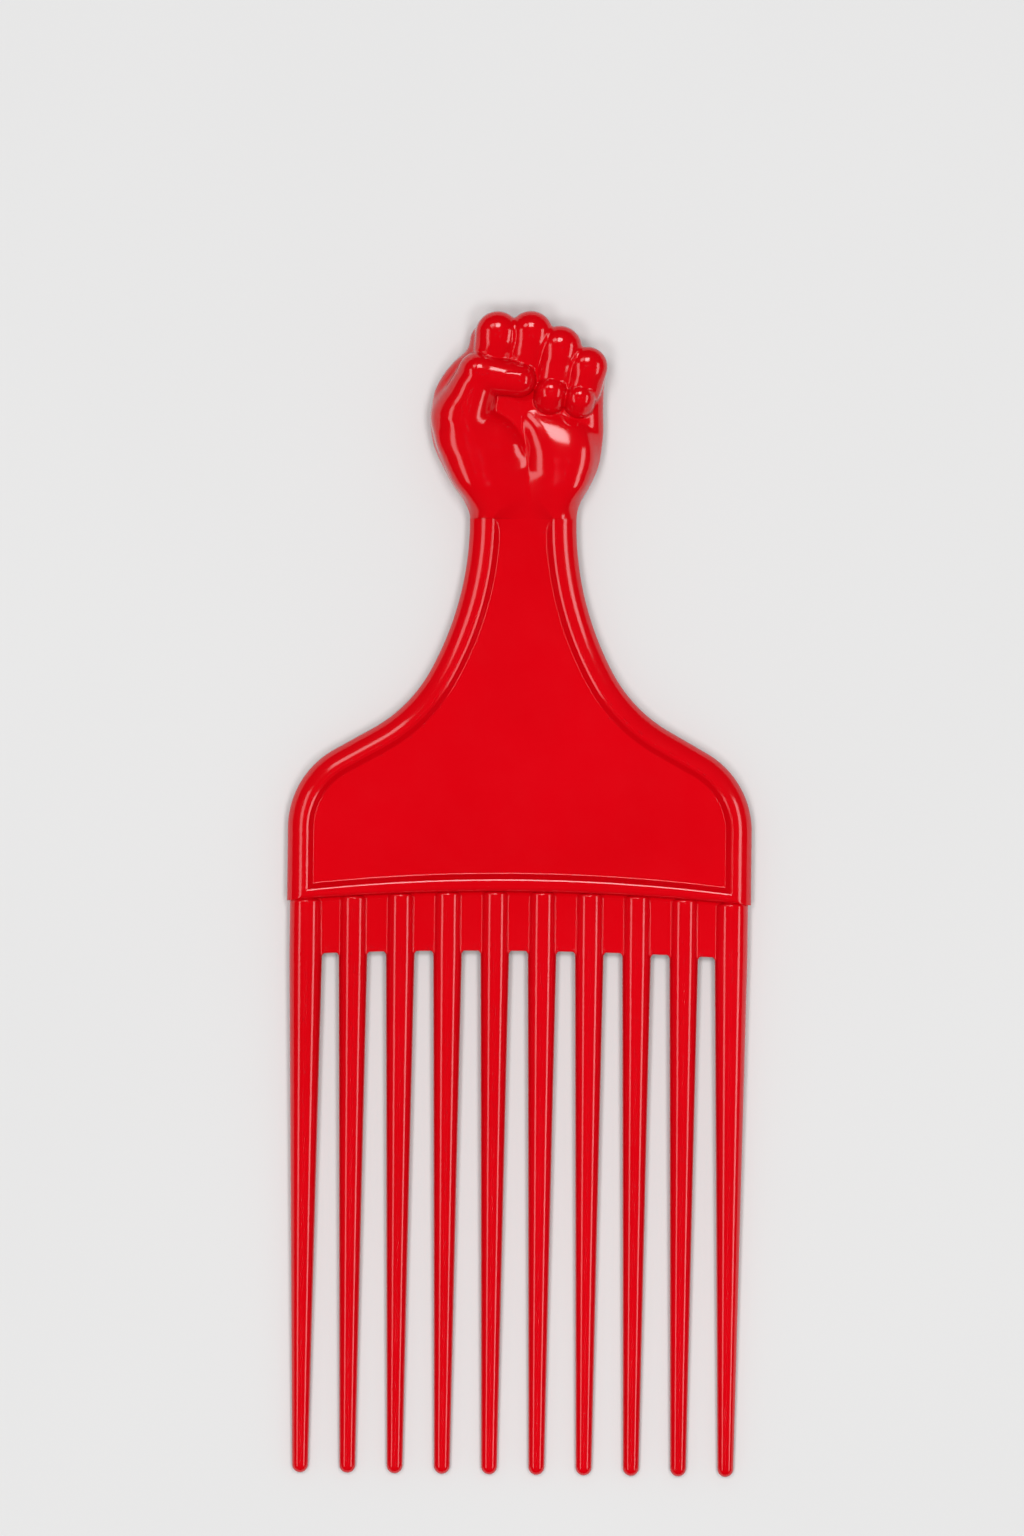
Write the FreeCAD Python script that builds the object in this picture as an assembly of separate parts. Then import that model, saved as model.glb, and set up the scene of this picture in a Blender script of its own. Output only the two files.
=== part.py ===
"""Afro pick: a moulded hair comb with long round teeth and a raised-fist handle.

The pick lies flat with its front face up: +X runs across the teeth, +Y from the teeth to the fist and
+Z out of the front face. It is drawn about the corners of the body's lower edge, with z = 0 on the
moulding's mid-plane, and is moved at the end so that the origin is the middle of its underside.
"""

import FreeCAD
import Part
import math
import os

from FreeCAD import Matrix, Rotation, Vector

# Teeth, whose row sets the width of the body
TOOTH_COUNT = 10
TOOTH_LENGTH = 91.5
TOOTH_ROOT_DIAMETER = 4.7
END_TOOTH_ROOT_DIAMETER = 5.35
END_TOOTH_INSET = 0.44
TOOTH_TIP_DIAMETER = 2.6
SLOT_WIDTH = 2.86
TOOTH_PITCH = TOOTH_ROOT_DIAMETER + SLOT_WIDTH
BODY_WIDTH = (TOOTH_COUNT - 1) * TOOTH_PITCH + END_TOOTH_ROOT_DIAMETER + 2 * END_TOOTH_INSET

# Body outline
SIDE_HEIGHT = 11.7
SHOULDER_RADIUS = 14.4
SHOULDER_SLOPE_DEG = 29.5
SHOULDER_STRAIGHT = 7.0
FLARE_END_SLOPE_DEG = 61.5
NECK_RADIUS = 50.0
NECK_WIDTH = 17.1
WRIST_LENGTH = 0.6

# Raised rim along both edges of the body
RIM_THICKNESS = 5.4
RIM_OUTER_RADIUS = 0.445 * RIM_THICKNESS
RIM_CREST_WIDTH = 3.1
RIM_SLOPE_WIDTH = 0.8
RIM_CREST_RADIUS = 0.35
RIM_FOOT_RADIUS = 0.45
RIM_FOOT_MARGIN = 0.3

# Flat panel between the rims
PANEL_THICKNESS = 3.0
RAMP_LENGTH = 3.2

# Arched lip between the panel and the teeth
LIP_RISE = 1.8
LIP_CREST_WIDTH = 1.7
LIP_EDGE_RADIUS = 0.9

# Web that joins the tooth roots
WEB_THICKNESS = 2.2
WEB_DEPTH = 8.7
WEB_RISE = 1.0
WEB_FILLET_RADIUS = 0.45
SLOT_CORNER_RADIUS = 0.4

# Fist
FIST_WIDTH = 27.9
FIST_HEIGHT = 33.2
FIST_FRONT = 7.2
FIST_BACK = 5.2

# Hand block: height up the fist, left and right edge, front, back and edge radius
# (shares of the fist's height, width, width, front, back and front)
HAND_SHARES = (
    (0.09, -0.335, 0.328, 0.42, 0.58, 0.36),
    (0.22, -0.440, 0.405, 0.47, 0.72, 0.43),
    (0.36, -0.520, 0.452, 0.50, 0.82, 0.49),
    (0.52, -0.527, 0.462, 0.50, 0.86, 0.50),
    (0.66, -0.475, 0.470, 0.49, 0.85, 0.49),
    (0.76, -0.380, 0.440, 0.46, 0.82, 0.47),
    (0.83, -0.290, 0.310, 0.42, 0.76, 0.44),
    (0.89, -0.230, 0.190, 0.34, 0.64, 0.38),
)
# Fingers: x and y of the finger's top, x and y of the lower end of its axis, and half its width
# (shares of the fist's width and height, and of its width)
FINGER_SHARES = {
    "index": (-0.158, 0.993, -0.194, 0.680, 0.124),
    "middle": (0.033, 1.000, -0.010, 0.665, 0.122),
    "ring": (0.201, 0.921, 0.147, 0.635, 0.120),
    "little": (0.363, 0.816, 0.322, 0.600, 0.111),
}
FINGER_FRONT_SHARE = 0.87
FINGER_BACK_SHARE = 0.90
# Fingertips of the two fingers that the thumb leaves bare: x, y, radius
FINGERTIP_SHARES = {
    "ring": (0.143, 0.575, 0.091),
    "little": (0.310, 0.553, 0.085),
}
FINGERTIP_FRONT_SHARE = 0.85
# Thumb: x, y and radius at its base, its bend and its tip
THUMB_SHARES = ((-0.415, 0.470, 0.118), (-0.285, 0.690, 0.120), (-0.032, 0.655, 0.098))
THUMB_FRONT_SHARE = 1.0
# Mounds of the palm: x, y, half width, half length, mid-height and front, then the lean in degrees
MOUND_SHARES = {
    "thumb_mound": (-0.210, 0.305, 0.245, 0.290, 0.18, 0.87),
    "heel_mound": (0.236, 0.325, 0.208, 0.255, 0.18, 0.80),
}
MOUND_LEAN_DEG = {"thumb_mound": 24.0, "heel_mound": -14.0}
# Knuckles on the back of the hand: place along each finger and radius
KNUCKLE_PLACE_SHARE = 0.30
KNUCKLE_RADIUS_SHARE = 0.098

# Extra length of every cutting tool
OVERRUN = 2.0


def rounded_wire(corners, to_point):
    """Closed wire through (u, v, radius) corners, each rounded by a tangent arc unless its radius is zero."""
    edges = []
    ends = []
    count = len(corners)
    for i, (u, v, radius) in enumerate(corners):
        here = Vector(u, v, 0)
        back = Vector(*corners[i - 1][:2], 0) - here
        ahead = Vector(*corners[(i + 1) % count][:2], 0) - here
        back.normalize()
        ahead.normalize()
        half_angle = back.getAngle(ahead) / 2
        if radius == 0:
            ends.append((here, here, None))
            continue
        reach = radius / math.tan(half_angle)
        bisector = back + ahead
        bisector.normalize()
        middle = here + bisector * (radius / math.sin(half_angle) - radius)
        ends.append((here + back * reach, here + ahead * reach, middle))
    for i, (start, end, middle) in enumerate(ends):
        if middle is not None:
            edges.append(Part.Arc(to_point(start), to_point(middle), to_point(end)).toShape())
        following = ends[(i + 1) % count][0]
        if not end.isEqual(following, Part.Precision.confusion()):
            edges.append(Part.makeLine(to_point(end), to_point(following)))
    return Part.Wire(edges)


def mirrored(shape):
    return shape.mirror(Vector(), Vector(1, 0, 0))


def slope_direction(slope_deg):
    """Unit vector up the right-hand edge where it slopes that far from the horizontal."""
    slope = math.radians(slope_deg)
    return Vector(-math.cos(slope), math.sin(slope), 0)


def inward(slope_deg):
    """Unit vector into the body, square to the right-hand edge."""
    along = slope_direction(slope_deg)
    return Vector(-along.y, along.x, 0)


def edge_stations():
    """(point, slope, radius) along the right-hand edge, from the lower corner to the wrist.

    A radius belongs to the stretch that ends at its point: positive bulges out, negative is hollow.
    """
    upright_deg = 90.0
    stations = [(Vector(BODY_WIDTH / 2, 0, 0), upright_deg, 0)]

    def straight(length):
        point, slope, _ = stations[-1]
        stations.append((point + slope_direction(slope) * length, slope, 0))

    def bend(radius, end_slope):
        point, slope, _ = stations[-1]
        centre = point + inward(slope) * radius
        stations.append((centre - inward(end_slope) * radius, end_slope, radius))

    straight(SIDE_HEIGHT)
    bend(SHOULDER_RADIUS, SHOULDER_SLOPE_DEG)
    straight(SHOULDER_STRAIGHT)
    start_sine = math.sin(math.radians(SHOULDER_SLOPE_DEG))
    end_sine = math.sin(math.radians(FLARE_END_SLOPE_DEG))
    neck_start_x = NECK_WIDTH / 2 + NECK_RADIUS * (1 - end_sine)
    flare_radius = (stations[-1][0].x - neck_start_x) / (end_sine - start_sine)
    bend(-flare_radius, FLARE_END_SLOPE_DEG)
    bend(-NECK_RADIUS, upright_deg)
    straight(WRIST_LENGTH)
    return stations


def edge_run(inset):
    """Edges of the right-hand outline, moved into the body by inset, from bottom to top."""
    edges = []
    stations = edge_stations()
    for (start, slope, _), (end, end_slope, radius) in zip(stations, stations[1:]):
        first = start + inward(slope) * inset
        last = end + inward(end_slope) * inset
        if radius == 0:
            edges.append(Part.makeLine(first, last))
            continue
        middle_slope = (slope + end_slope) / 2
        centre = start + inward(slope) * radius
        middle = centre - inward(middle_slope) * (radius - inset)
        edges.append(Part.Arc(first, middle, last).toShape())
    return edges


def rim_corners():
    """Section of the rim: distance in from the body's edge, height and corner radius."""
    crest = RIM_THICKNESS / 2
    floor = PANEL_THICKNESS / 2
    foot = RIM_CREST_WIDTH + RIM_SLOPE_WIDTH
    upper = [
        (0, crest, RIM_OUTER_RADIUS),
        (RIM_CREST_WIDTH, crest, RIM_CREST_RADIUS),
        (foot, floor, RIM_FOOT_RADIUS),
        (foot + RIM_FOOT_MARGIN, floor, 0),
    ]
    return upper + [(u, -v, radius) for u, v, radius in reversed(upper)]


def lip_corners():
    """Section of the lip: distance up from its lower edge, height and corner radius."""
    crest = RIM_THICKNESS / 2
    floor = PANEL_THICKNESS / 2
    foot = LIP_CREST_WIDTH + RIM_SLOPE_WIDTH
    upper = [
        (0, crest, LIP_EDGE_RADIUS),
        (LIP_CREST_WIDTH, crest, RIM_CREST_RADIUS),
        (foot, floor, RIM_FOOT_RADIUS),
        (foot + RIM_FOOT_MARGIN, floor, 0),
    ]
    return upper + [(u, -v, radius) for u, v, radius in reversed(upper)]


RIM_WIDTH = rim_corners()[3][0]
LIP_WIDTH = lip_corners()[3][0]
WRIST_Y = edge_stations()[-1][0].y
LIP_ARCH_RADIUS = ((BODY_WIDTH / 2) ** 2 + LIP_RISE ** 2) / (2 * LIP_RISE)
LIP_ARCH_Y = LIP_RISE - LIP_ARCH_RADIUS
FIST_TOP_Y = WRIST_Y + FIST_HEIGHT


def arched(corners, half_span):
    """Solid of a section that follows the lip's arch from -half_span to +half_span in x."""
    centre = Vector(0, LIP_ARCH_Y, 0)
    up = Vector(0, 0, 1)
    wire = rounded_wire(corners, lambda p: Vector(0, LIP_ARCH_Y + LIP_ARCH_RADIUS + p.x, p.y))
    half_turn = math.degrees(math.asin(half_span / LIP_ARCH_RADIUS))
    face = Part.Face(wire)
    face.rotate(centre, up, -half_turn)
    return face.revolve(centre, up, 2 * half_turn)


def above_lip_edge():
    """Everything above the lip's rounded lower edge, as a tool that gives the rims the same end."""
    crest = RIM_THICKNESS / 2
    height = WRIST_Y + BODY_WIDTH
    corners = [
        (0, crest, LIP_EDGE_RADIUS),
        (height, crest, 0),
        (height, -crest, 0),
        (0, -crest, LIP_EDGE_RADIUS),
    ]
    return arched(corners, BODY_WIDTH / 2 + OVERRUN)


def right_rim():
    path = edge_run(0)
    start = path[0].Vertexes[0].Point
    below = start - Vector(0, LIP_RISE, 0)
    spine = Part.Wire([Part.makeLine(below, start)] + path)
    section = rounded_wire(rim_corners(), lambda p: Vector(BODY_WIDTH / 2 - p.x, below.y, p.y))
    pipe = Part.BRepOffsetAPI.MakePipeShell(spine)
    pipe.setBiNormalMode(Vector(0, 0, 1))
    pipe.add(section)
    pipe.build()
    pipe.makeSolid()
    return pipe.shape().common(above_lip_edge())


def lip(rims):
    rim_middle = (RIM_OUTER_RADIUS + RIM_CREST_WIDTH) / 2
    return arched(lip_corners(), BODY_WIDTH / 2 - rim_middle).cut(rims)


def inside_lip_y(x):
    """Height at x of the middle of the lip's crest, where what grows out of the lip begins."""
    return LIP_ARCH_Y + math.sqrt(LIP_ARCH_RADIUS ** 2 - x ** 2) + LIP_CREST_WIDTH / 2


def panel(rims, lip_bar):
    """Flat panel inside the rims, with a ramp at each side of its top up to the thickness of the wrist."""
    inner = edge_run(RIM_WIDTH)
    foot = inner[0].Vertexes[0].Point
    top = inner[-1].Vertexes[-1].Point
    outline = [
        *inner,
        Part.makeLine(top, Vector(-top.x, top.y, 0)),
        *[mirrored(edge) for edge in reversed(inner)],
        Part.makeLine(Vector(-foot.x, foot.y, 0), foot),
    ]
    plate = Part.Face(Part.Wire(Part.__sortEdges__(outline)))
    plate.translate(Vector(0, 0, -PANEL_THICKNESS / 2))
    plate = plate.extrude(Vector(0, 0, PANEL_THICKNESS))
    below_lip = Part.makeCylinder(
        LIP_ARCH_RADIUS + LIP_WIDTH, RIM_THICKNESS, Vector(0, LIP_ARCH_Y, -RIM_THICKNESS / 2))
    return plate.cut(below_lip).fuse(ramp().cut(rims)).removeSplitter().cut(lip_bar)


def ramp():
    """Block whose two faces climb from the panel's floor to the crest of the rim in a hollow curve."""
    crest = RIM_THICKNESS / 2
    floor = PANEL_THICKNESS / 2
    start = WRIST_Y - RAMP_LENGTH
    climb = crest - floor
    radius = (RAMP_LENGTH ** 2 + climb ** 2) / (2 * climb)
    half_turn = math.asin(RAMP_LENGTH / radius) / 2
    across = 2 * radius * math.sin(half_turn / 2)
    middle_y = start + across * math.cos(half_turn / 2)
    middle_z = floor + across * math.sin(half_turn / 2)
    edge_x = NECK_WIDTH / 2 - RIM_OUTER_RADIUS

    def at(y, z):
        return Vector(-edge_x, y, z)

    wire = Part.Wire([
        Part.Arc(at(start, floor), at(middle_y, middle_z), at(WRIST_Y, crest)).toShape(),
        Part.makeLine(at(WRIST_Y, crest), at(WRIST_Y, -crest)),
        Part.Arc(at(WRIST_Y, -crest), at(middle_y, -middle_z), at(start, -floor)).toShape(),
        Part.makeLine(at(start, -floor), at(start, floor)),
    ])
    return Part.Face(wire).extrude(Vector(2 * edge_x, 0, 0))


def tooth_x(number):
    return (number - (TOOTH_COUNT - 1) / 2) * TOOTH_PITCH


def tooth_radius(number):
    is_end = number in (0, TOOTH_COUNT - 1)
    return (END_TOOTH_ROOT_DIAMETER if is_end else TOOTH_ROOT_DIAMETER) / 2


def web_edge_y(x):
    """Height of the web's lower edge, which arches up to the middle."""
    half = BODY_WIDTH / 2
    return -WEB_DEPTH + WEB_RISE * (1 - (x / half) ** 2)


def tooth(number, above):
    """Round tooth: straight past the web, then tapered to a ball tip, its top cut to fit what is above."""
    x = tooth_x(number)
    root = tooth_radius(number)
    tip = TOOTH_TIP_DIAMETER / 2
    top_y = inside_lip_y(x)
    taper_y = web_edge_y(x)
    ball_y = tip - TOOTH_LENGTH
    ball_middle = Vector(x + tip * math.sqrt(0.5), ball_y - tip * math.sqrt(0.5), 0)
    end = Vector(x, -TOOTH_LENGTH, 0)
    wire = Part.Wire([
        Part.makeLine(Vector(x, top_y, 0), Vector(x + root, top_y, 0)),
        Part.makeLine(Vector(x + root, top_y, 0), Vector(x + root, taper_y, 0)),
        Part.makeLine(Vector(x + root, taper_y, 0), Vector(x + tip, ball_y, 0)),
        Part.Arc(Vector(x + tip, ball_y, 0), ball_middle, end).toShape(),
        Part.makeLine(end, Vector(x, top_y, 0)),
    ])
    rod = Part.Face(wire).revolve(Vector(x, 0, 0), Vector(0, 1, 0), 360)
    return rod.cut(above)


def web_strip(number, above):
    """Web between a tooth and the next: a thin strip that swells into a fillet along both teeth."""
    floor = WEB_THICKNESS / 2
    left, right = tooth_x(number), tooth_x(number + 1)
    left_root, right_root = tooth_radius(number), tooth_radius(number + 1)
    bottom = min(web_edge_y(left), web_edge_y(right)) - SLOT_CORNER_RADIUS
    top = min(inside_lip_y(left), inside_lip_y(right))
    fillet_z = floor + WEB_FILLET_RADIUS

    def side(centre, root, turn):
        """Points of one side: on the tooth, where the fillet leaves it, half-way, and on the web's floor."""
        reach = math.sqrt((root + WEB_FILLET_RADIUS) ** 2 - fillet_z ** 2)
        fillet = Vector(centre + turn * reach, bottom, fillet_z)
        towards = Vector(centre, bottom, 0) - fillet
        towards.normalize()
        down = Vector(0, 0, -1)
        between = towards + down
        between.normalize()
        return (
            Vector(centre + turn * root, bottom, 0),
            fillet + towards * WEB_FILLET_RADIUS,
            fillet + between * WEB_FILLET_RADIUS,
            fillet + down * WEB_FILLET_RADIUS,
        )

    def under(point):
        return Vector(point.x, point.y, -point.z)

    left_mid, left_high, left_bow, left_floor = side(left, left_root, 1)
    right_mid, right_high, right_bow, right_floor = side(right, right_root, -1)
    wire = Part.Wire([
        Part.Arc(under(left_high), left_mid, left_high).toShape(),
        Part.Arc(left_high, left_bow, left_floor).toShape(),
        Part.makeLine(left_floor, right_floor),
        Part.Arc(right_floor, right_bow, right_high).toShape(),
        Part.Arc(right_high, right_mid, under(right_high)).toShape(),
        Part.Arc(under(right_high), under(right_bow), under(right_floor)).toShape(),
        Part.makeLine(under(right_floor), under(left_floor)),
        Part.Arc(under(left_floor), under(left_bow), under(left_high)).toShape(),
    ])
    strip = Part.Face(wire).extrude(Vector(0, top - bottom, 0))
    return strip.cut(slot_tool(number)).cut(above)


def slot_tool(number):
    """Cutter for the slot below a web strip, with its two upper corners rounded."""
    left = tooth_x(number) + tooth_radius(number)
    right = tooth_x(number + 1) - tooth_radius(number + 1)
    bottom = -WEB_DEPTH - OVERRUN
    corners = [
        (left, web_edge_y(left), SLOT_CORNER_RADIUS),
        (right, web_edge_y(right), SLOT_CORNER_RADIUS),
        (right, bottom, 0),
        (left, bottom, 0),
    ]
    height = WEB_THICKNESS + 2 * OVERRUN
    wire = rounded_wire(corners, lambda p: Vector(p.x, p.y, -height / 2))
    return Part.Face(wire).extrude(Vector(0, 0, height))


def root_web(above):
    return Part.makeCompound([web_strip(number, above) for number in range(TOOTH_COUNT - 1)])


def fist_point(x_share, y_share, z):
    return Vector(x_share * FIST_WIDTH, WRIST_Y + y_share * FIST_HEIGHT, z)


def hand_block():
    """Slab of the hand, from the wrist to the knuckles, lofted through rounded sections."""
    wrist = (0, -NECK_WIDTH / 2, NECK_WIDTH / 2, RIM_THICKNESS / 2, RIM_THICKNESS / 2, RIM_OUTER_RADIUS)
    sections = [wrist]
    for y, left, right, front, back, radius in HAND_SHARES:
        sections.append((
            y * FIST_HEIGHT, left * FIST_WIDTH, right * FIST_WIDTH,
            front * FIST_FRONT, back * FIST_BACK, radius * FIST_FRONT))
    wires = []
    for y, left, right, front, back, radius in sections:
        corners = [(x, z, radius) for x, z in ((left, front), (right, front), (right, -back), (left, -back))]
        wires.append(rounded_wire(corners, lambda p, y=y: Vector(p.x, WRIST_Y + y, p.y)))
    return Part.makeLoft(wires, True, False)


def capsule(start, start_radius, end, end_radius):
    """Two balls and the tangent cone between them, as one turned solid."""
    length = (end - start).Length
    lean = math.asin((start_radius - end_radius) / length)
    right_angle = math.pi / 2

    def on_ball(height, radius, angle):
        return Vector(radius * math.cos(angle), 0, height + radius * math.sin(angle))

    low_angles = (-right_angle, (lean - right_angle) / 2, lean)
    high_angles = (lean, (lean + right_angle) / 2, right_angle)
    bottom, low_mid, low = [on_ball(0, start_radius, angle) for angle in low_angles]
    high, high_mid, top = [on_ball(length, end_radius, angle) for angle in high_angles]
    wire = Part.Wire([
        Part.Arc(bottom, low_mid, low).toShape(),
        Part.makeLine(low, high),
        Part.Arc(high, high_mid, top).toShape(),
        Part.makeLine(top, bottom),
    ])
    solid = Part.Face(wire).revolve(Vector(), Vector(0, 0, 1), 360)
    solid.Placement = FreeCAD.Placement(start, Rotation(Vector(0, 0, 1), end - start))
    return solid


def stretched(solid, depth_ratio, z):
    """The solid, drawn about z = 0, made that many times as deep and moved to z."""
    matrix = Matrix()
    matrix.scale(Vector(1, 1, depth_ratio))
    matrix.move(Vector(0, 0, z))
    return solid.transformGeometry(matrix)


def finger_axis(name):
    """Lower and upper end of a finger's axis, and its radius."""
    x_top, y_top, x_low, y_low, half_width = FINGER_SHARES[name]
    radius = half_width * FIST_WIDTH
    upper = fist_point(x_top, y_top, 0) - Vector(0, radius, 0)
    return fist_point(x_low, y_low, 0), upper, radius


def finger(name):
    lower, upper, radius = finger_axis(name)
    front = FINGER_FRONT_SHARE * FIST_FRONT
    back = FINGER_BACK_SHARE * FIST_BACK
    rod = capsule(lower, radius, upper, radius)
    return stretched(rod, (front + back) / (2 * radius), (front - back) / 2)


def fingertip(name):
    x, y, radius_share = FINGERTIP_SHARES[name]
    radius = radius_share * FIST_WIDTH
    return Part.makeSphere(radius, fist_point(x, y, FINGERTIP_FRONT_SHARE * FIST_FRONT - radius))


def thumb():
    joints = []
    for x, y, radius_share in THUMB_SHARES:
        radius = radius_share * FIST_WIDTH
        joints.append((fist_point(x, y, THUMB_FRONT_SHARE * FIST_FRONT - radius), radius))
    (base, base_radius), (bend, bend_radius), (tip, tip_radius) = joints
    return [capsule(base, base_radius, bend, bend_radius), capsule(bend, bend_radius, tip, tip_radius)]


def mound(name):
    """Egg-shaped pad of the palm, as a stretched ball that leans in the plane of the palm."""
    x, y, half_width, half_length, middle, front = MOUND_SHARES[name]
    matrix = Matrix()
    matrix.scale(Vector(half_width * FIST_WIDTH, half_length * FIST_HEIGHT, (front - middle) * FIST_FRONT))
    matrix.rotateZ(math.radians(MOUND_LEAN_DEG[name]))
    matrix.move(fist_point(x, y, middle * FIST_FRONT))
    return Part.makeSphere(1).transformGeometry(matrix)


def knuckle(name):
    lower, upper, _ = finger_axis(name)
    radius = KNUCKLE_RADIUS_SHARE * FIST_WIDTH
    place = upper + (lower - upper) * KNUCKLE_PLACE_SHARE
    return Part.makeSphere(radius, place + Vector(0, 0, radius - FIST_BACK))


def fist():
    pieces = [finger(name) for name in FINGER_SHARES]
    pieces += [fingertip(name) for name in FINGERTIP_SHARES]
    pieces += thumb()
    pieces += [mound(name) for name in MOUND_SHARES]
    pieces += [knuckle(name) for name in FINGER_SHARES]
    return hand_block().multiFuse(pieces)


def build():
    """Every piece by its name, drawn about the body's lower edge and the moulding's mid-plane."""
    right = right_rim()
    left = mirrored(right)
    rims = Part.makeCompound([left, right])
    lip_bar = lip(rims)
    above_teeth = Part.makeCompound([left, right, lip_bar])
    pieces = {
        "left_rim": left,
        "right_rim": right,
        "lip": lip_bar,
        "panel": panel(rims, lip_bar),
        "root_web": root_web(above_teeth),
        "fist": fist(),
    }
    for number in range(TOOTH_COUNT):
        pieces[f"tooth_{number + 1:02d}"] = tooth(number, above_teeth)
    return pieces


def main():
    os.makedirs("parts", exist_ok=True)
    to_origin = Vector(0, (TOOTH_LENGTH - FIST_TOP_Y) / 2, FIST_BACK)
    for name, shape in build().items():
        shape.translate(to_origin)
        solids = shape.Solids
        whole = solids[0] if len(solids) == 1 else Part.makeCompound(solids)
        whole.exportStep(f"parts/{name}.step")
        print(f"{name}: {len(solids)} solid(s), {whole.Volume:.1f} mm3, valid {whole.isValid()}")


main()
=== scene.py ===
import math

import bmesh
import bpy
import numpy as np
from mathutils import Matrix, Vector


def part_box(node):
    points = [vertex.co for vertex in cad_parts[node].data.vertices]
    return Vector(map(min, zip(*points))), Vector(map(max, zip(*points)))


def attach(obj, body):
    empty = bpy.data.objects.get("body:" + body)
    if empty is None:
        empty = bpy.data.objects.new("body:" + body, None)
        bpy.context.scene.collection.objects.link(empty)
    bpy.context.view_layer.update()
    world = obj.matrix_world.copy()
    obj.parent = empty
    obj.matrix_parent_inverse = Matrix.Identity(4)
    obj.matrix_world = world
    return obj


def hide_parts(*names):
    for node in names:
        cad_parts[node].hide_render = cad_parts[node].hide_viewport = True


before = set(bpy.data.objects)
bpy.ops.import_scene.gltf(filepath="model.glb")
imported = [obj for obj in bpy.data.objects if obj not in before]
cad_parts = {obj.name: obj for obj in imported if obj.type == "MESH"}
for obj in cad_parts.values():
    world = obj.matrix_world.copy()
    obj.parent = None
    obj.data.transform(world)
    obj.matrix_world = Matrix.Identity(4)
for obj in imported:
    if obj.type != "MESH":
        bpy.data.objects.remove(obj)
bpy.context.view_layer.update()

MM = 0.001

# Sizes read from the frame, in millimetres
# Heights are counted from the corners of the body's lower edge and depths from the mid-plane


def box_mm(node):
    """Lowest and highest corner of a node, in millimetres."""
    low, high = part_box(node)
    return low / MM, high / MM


rim_low, rim_high = box_mm("right_rim")
fist_low, fist_high = box_mm("fist")
HALF_WIDTH = rim_high.x
EDGE_Y = rim_low.y
MID_Z = (rim_low.z + rim_high.z) / 2
CREST = (rim_high.z - rim_low.z) / 2
WRIST_Y = fist_low.y - EDGE_Y
FIST_TOP_Y = fist_high.y - EDGE_Y
TOOTH_COUNT = 10
TEETH = [f"tooth_{number:02d}" for number in range(1, TOOTH_COUNT + 1)]

# Body outline
SIDE_HEIGHT = 11.7
SHOULDER_RADIUS = 14.4
SHOULDER_SLOPE = 29.5
SHOULDER_STRAIGHT = 7.0
FLARE_END_SLOPE = 61.5
NECK_RADIUS = 50.0
NECK_WIDTH = 17.1
UPRIGHT = 90.0
# Rows of the skin along each stretch of the outline
SHOULDER_ROWS = 30
STRAIGHT_ROWS = 10
FLARE_ROWS = 34
NECK_ROWS = 44

# Rim, lip and panel
BEAD_WIDTH = 3.0
BEAD_FLANK = 0.2
BEAD_POWER = 1.6
NECK_BEAD_GAIN = 0.16
PANEL_HALF = 1.5
LIP_RISE = 1.8
LIP_BEAD = 1.72
# The lip narrows towards its ends
LIP_END_DROP = 0.6
LIP_EDGE_RADIUS = 0.9
# The recess fades out at the wrist: half width, reach into the hand, and length of its end at the side
# and in the middle
DISH_HALF = 5.0
DISH_RISE = 4.0
DISH_SIDE_RUN = 2.0
DISH_MIDDLE_RUN = 7.5
# Inner side of the bead: a small chamfer, a steep wall and a fillet, as widths and slopes in degrees
BEAD_CHAMFER = (0.36, 27.5)
LIP_CHAMFER = (0.25, 20.0)
WALL_SLOPE = 50.0
FILLET_WIDTH = 0.34
# Widths over which the chamfer and the wall set in, and the blend where the rim's side meets the lip's
CHAMFER_EASE = 0.06
WALL_EASE = 0.08
INNER_CORNER_BLEND = 0.06
PROFILE_SAMPLES = 400
# Height on the side above which the rows let go of the lip's arch
ARCH_FADE_START = 4.0
# Inset given to the panel, well past the inner side of the rim
PANEL_INSET = BEAD_WIDTH + 10.0
# Rows and columns of the skin, and how far the fine ones run on past the inner side
LIP_ROUND_ROWS = 13
LIP_SLOPE_ROWS = 44
SIDE_ROWS = 14
BEAD_COLUMNS = 21
RIM_SLOPE_COLUMNS = 32
PANEL_COLUMNS = 44
LIP_MARGIN = 0.1
RIM_MARGIN = 0.06

# Tooth roots and web
TOOTH_TIP_RADIUS = 1.3
TOOTH_CROWN_RADIUS = 0.55
WEB_HALF = 1.1
WEB_DEPTH = 8.7
WEB_RISE = 1.0
WEB_FILLET = 0.45
WEB_EDGE_RADIUS = 0.35
SLOT_CORNER = 0.4
# How far teeth and web run on under the lip, and where in the tooth's radius a strip of web starts
CROWN_OVERLAP = 0.6
WEB_OVERLAP = 0.4
WEB_ROOT_SHARE = 0.5
# Distances of a strip's columns from its fillet
WEB_INSETS = (0.1, 0.2, 0.3, SLOT_CORNER, 0.6)
# Rows and columns of the skins
TOOTH_SIDES = 48
CROWN_ROWS = 9
ROOT_ROWS = 8
TAPER_ROWS = 40
TIP_ROWS = 10
WEB_EDGE_ROWS = 7
WEB_ROWS = 8
FILLET_COLUMNS = 8


def smooth_step(t):
    """Eased step from 0 to 1."""
    t = np.clip(t, 0.0, 1.0)
    return t * t * (3.0 - 2.0 * t)


def blend_min(a, b, width):
    """Lower of two values, rounded over the given width where they meet."""
    h = np.clip(0.5 + 0.5 * (b - a) / width, 0.0, 1.0)
    return b + (a - b) * h - width * h * (1.0 - h)


def to_world(points):
    """Points moved to their place in the frame, in metres."""
    moved = np.asarray(points, float) + np.array((0.0, EDGE_Y, MID_Z))
    return moved * MM


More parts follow.
